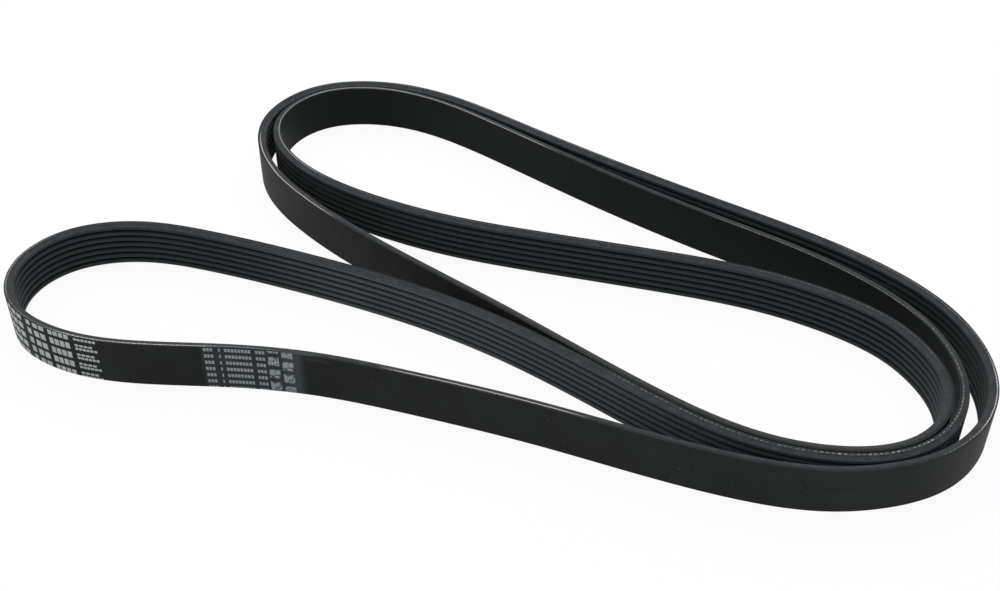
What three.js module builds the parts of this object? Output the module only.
// Serpentine belt, an endless ribbed drive belt, standing on its cut edge in a folded coil.
// Millimetres, +Z up. Seen from above, +X runs along the coil and the origin is under its middle.

import * as THREE from 'three';
import { ParametricGeometry } from 'three/addons/geometries/ParametricGeometry.js';
import { mergeVertices } from 'three/addons/utils/BufferGeometryUtils.js';

// Driving dimensions of the belt
const BELT_LENGTH = 2967;     // along the tension cords
const RIB_COUNT = 7;
const RIB_PITCH = 3.56;       // from one rib to the next
const RIB_HEIGHT = 2.3;       // groove floor to rib tip
const GROOVE_ANGLE = 40;      // degrees between the two flanks of a groove
const GROOVE_FLOOR = 0.4;     // flat width at the bottom of a groove
const BACKING = 2.2;          // groove floor to smooth back
const CORD_DEPTH = 1.1;       // smooth back to the middle of the tension cords

// Driving dimensions of the coil
const LANE_CLEARANCE = 0.4;   // closest that two lanes of the coil come
const CHORD_ERROR = 0.2;      // how far a facet may cut inside the true curve
const LONGEST_FACET = 36;     // on the straight runs

const RUBBER = { color: 0x2b2e31, roughness: 0.62, metalness: 0 };

// The ribs of the middle lane face the outer lane and its smooth back faces the inner lane
const RIB_TIP = BACKING + RIB_HEIGHT - CORD_DEPTH;
const GROOVE_LEVEL = BACKING - CORD_DEPTH;
const RIB_TO_RIB = 2 * RIB_TIP + LANE_CLEARANCE;
const BACK_TO_BACK = 2 * CORD_DEPTH + LANE_CLEARANCE;

// Middle lane of the coil, from the upper left bend round the right end to the lower left.
// Each station is where the cords pass, seen from above. outer and inner are the slack, beyond
// the clearance, that the coil leaves between this lane and the lane on either side of it.
const MIDDLE_LANE = [
  { x: -85, y: 58 },
  { x: -110.5, y: 86, outer: 6.6 },
  { x: -117.5, y: 120.5, outer: 1.8 },
  { x: -97, y: 148, outer: 0.1 },
  { x: -60, y: 151.5, outer: 0.1 },
  { x: -22, y: 134.5, outer: 1.3 },
  { x: 20, y: 101.5, outer: 2.6 },
  { x: 66, y: 63.5, outer: 5.2 },
  { x: 114, y: 27.5, outer: 7.1 },
  { x: 160.5, y: -5.5, outer: 7.9 },
  { x: 195.5, y: -38.5, outer: 9.6, inner: 13.6 },
  { x: 214.5, y: -71, outer: 10.1, inner: 7.6 },
  { x: 218, y: -106.5, outer: 8.1, inner: 2.6 },
  { x: 203, y: -136.5, outer: 3.2, inner: 0.5 },
  { x: 173, y: -150.5, outer: 1, inner: 0.1 },
  { x: 135.5, y: -147, outer: 4.4, inner: 0 },
  { x: 99.5, y: -130, inner: 0.1 },
  { x: 59.5, y: -99, inner: 0 },
  { x: 12, y: -62.5, inner: 3.5 },
  { x: -39.5, y: -32.5 },
  { x: -94.5, y: -8.5 },
];

// Stretches that run clear of the other lanes
const LOWER_LEFT_LOOP = [
  { x: -141.5, y: 8.5 },
  { x: -180.5, y: 17 },
  { x: -215.5, y: 9.5 },
  { x: -235, y: -16.5 },
  { x: -228.5, y: -49.5 },
  { x: -199, y: -71 },
  { x: -162.5, y: -79 },
  { x: -119.5, y: -81.5 },
  { x: -75, y: -88 },
  { x: -27, y: -102 },
  { x: 25, y: -120 },
  { x: 80, y: -142 },
];
const UPPER_LEFT_RUN = [
  { x: -96.5, y: 40.5 },
  { x: -61, y: 6 },
  { x: -18.5, y: -29.5 },
];
const CROSSING_RUN = [
  { x: 141, y: -24.5 },
  { x: 88.5, y: -7.5 },
  { x: 35.5, y: 6.5 },
  { x: -12.5, y: 20.5 },
  { x: -52, y: 37.5 },
];

// A closed curve of even curvature through its stations: a cubic B-spline, which passes a station
// at (previous + 4 own + next) / 6 of its control points. Solved for the control points, that makes
// each of them a sum of all the stations, whose shares fade by this factor from one to the next.
const FADE = Math.sqrt(3) - 2;

class ClosedSpline extends THREE.Curve {
  constructor(stations) {
    super();
    this.count = stations.length;
    this.controls = stations.map((_, i) => this.controlFor(i, stations));
  }

  controlFor(i, stations) {
    const control = new THREE.Vector2();
    stations.forEach((station, k) => {
      const away = Math.abs(k - i);
      const share = (FADE ** away + FADE ** (this.count - away)) / (1 - FADE ** this.count);
      control.addScaledVector(station, Math.sqrt(3) * share);
    });
    return control;
  }

  control(i) {
    return this.controls[(i + this.count) % this.count];
  }

  blend(t, weights, target) {
    const along = (((t % 1) + 1) % 1) * this.count;
    const first = Math.floor(along);
    target.set(0, 0);
    weights(along - first).forEach((weight, k) => {
      target.addScaledVector(this.control((first + k - 1) % this.count), weight);
    });
    return target;
  }

  getPoint(t, target = new THREE.Vector2()) {
    const weights = (s) => [
      (1 - s) ** 3 / 6,
      (3 * s ** 3 - 6 * s ** 2 + 4) / 6,
      (-3 * s ** 3 + 3 * s ** 2 + 3 * s + 1) / 6,
      s ** 3 / 6,
    ];
    return this.blend(t, weights, target);
  }

  getTangent(t, target = new THREE.Vector2()) {
    const weights = (s) => [
      -((1 - s) ** 2) / 2,
      (3 * s ** 2 - 4 * s) / 2,
      (-3 * s ** 2 + 2 * s + 1) / 2,
      s ** 2 / 2,
    ];
    return this.blend(t, weights, target).normalize();
  }

  // Left of the direction of travel, which is the side that carries the ribs
  ribSide(t) {
    const tangent = this.getTangent(t);
    return new THREE.Vector2(-tangent.y, tangent.x);
  }
}

function spread(stations, scale) {
  return stations.map(({ x, y }) => new THREE.Vector2(x * scale, y * scale));
}

// The lanes beside the middle one keep the belt's own thickness from it, so they follow its sizes
function coilStations(scale) {
  const crossing = spread(CROSSING_RUN, scale);
  const middle = spread(MIDDLE_LANE, scale);
  const loop = spread(LOWER_LEFT_LOOP, scale);
  const guide = new ClosedSpline([...crossing, ...middle, ...loop]);
  const beside = (i, distance) => {
    const side = guide.ribSide((crossing.length + i) / guide.count);
    return middle[i].clone().addScaledVector(side, distance);
  };
  const outer = [];
  const inner = [];
  MIDDLE_LANE.forEach((station, i) => {
    if (station.outer !== undefined) outer.unshift(beside(i, RIB_TO_RIB + station.outer));
    if (station.inner !== undefined) inner.unshift(beside(i, -BACK_TO_BACK - station.inner));
  });
  return [...loop, ...outer, ...spread(UPPER_LEFT_RUN, scale), ...inner, ...crossing, ...middle];
}

// Spreads the coil until its cords have the belt's length
function cordLine() {
  let scale = 1;
  let line = new ClosedSpline(coilStations(scale));
  while (Math.abs(lengthOf(line) - BELT_LENGTH) > CHORD_ERROR) {
    scale *= BELT_LENGTH / lengthOf(line);
    line = new ClosedSpline(coilStations(scale));
  }
  return line;
}

// The line is measured in short straight pieces, no longer than a facet may stray from it
const samples = Math.ceil(BELT_LENGTH / CHORD_ERROR);

function lengthOf(line) {
  let length = 0;
  for (let i = 0; i < samples; i += 1) length += chord(line, i / samples, (i + 1) / samples);
  return length;
}

function chord(line, from, to) {
  return line.getPoint(from).distanceTo(line.getPoint(to));
}

// Steps along the line, close together in the bends and far apart on the straight runs.
// A chord of a bend of radius r strays by e from the curve when it is sqrt(8 r e) long.
function stepsAlong(line) {
  const chordsTo = [0];
  for (let i = 0; i < samples; i += 1) {
    const [from, to] = [i / samples, (i + 1) / samples];
    const turn = line.getTangent(from).angleTo(line.getTangent(to));
    const radius = chord(line, from, to) / turn;
    const longest = Math.min(Math.sqrt(8 * radius * CHORD_ERROR), LONGEST_FACET);
    chordsTo.push(chordsTo[i] + chord(line, from, to) / longest);
  }
  const count = Math.ceil(chordsTo[samples]);
  const stride = chordsTo[samples] / count;
  const steps = [];
  let i = 0;
  for (let step = 0; step < count; step += 1) {
    while (chordsTo[i + 1] <= step * stride) i += 1;
    const part = (step * stride - chordsTo[i]) / (chordsTo[i + 1] - chordsTo[i]);
    steps.push((i + part) / samples);
  }
  return steps;
}

// Cross section: x is measured from the cords towards the ribs, y is the height on the cut edge.
// The cuts run down the middle of a groove, so half a groove floor is left on either side.
function beltSection() {
  const width = RIB_COUNT * RIB_PITCH;
  const flank = RIB_HEIGHT * Math.tan(THREE.MathUtils.degToRad(GROOVE_ANGLE / 2));
  const section = [new THREE.Vector2(-CORD_DEPTH, width), new THREE.Vector2(-CORD_DEPTH, 0)];
  section.push(new THREE.Vector2(GROOVE_LEVEL, 0));
  for (let rib = 0; rib < RIB_COUNT; rib += 1) {
    const low = rib * RIB_PITCH + GROOVE_FLOOR / 2;
    const high = (rib + 1) * RIB_PITCH - GROOVE_FLOOR / 2;
    section.push(new THREE.Vector2(GROOVE_LEVEL, low), new THREE.Vector2(RIB_TIP, low + flank));
    section.push(new THREE.Vector2(RIB_TIP, high - flank), new THREE.Vector2(GROOVE_LEVEL, high));
  }
  section.push(new THREE.Vector2(GROOVE_LEVEL, width));
  return section;
}

// The section carried once round the line, closed on itself both ways
function sweep(section, line) {
  const steps = stepsAlong(line);
  const surface = (u, v, target) => {
    const t = steps[Math.round(v * steps.length) % steps.length];
    const { x, y } = section[Math.round(u * section.length) % section.length];
    const place = line.getPoint(t).addScaledVector(line.ribSide(t), x);
    target.set(place.x, place.y, y);
  };
  const geometry = new ParametricGeometry(surface, section.length, steps.length);
  geometry.deleteAttribute('normal');
  geometry.deleteAttribute('uv');
  const closed = mergeVertices(geometry);
  closed.computeBoundingBox();
  const middle = closed.boundingBox.getCenter(new THREE.Vector3());
  closed.translate(-middle.x, -middle.y, 0);
  closed.computeVertexNormals();
  return closed;
}

function belt() {
  const mesh = new THREE.Mesh(
    sweep(beltSection(), cordLine()),
    new THREE.MeshStandardMaterial({ ...RUBBER, flatShading: true }),
  );
  mesh.name = 'belt';
  return mesh;
}

const serpentineBelt = new THREE.Group();
serpentineBelt.add(belt());

export default serpentineBelt;
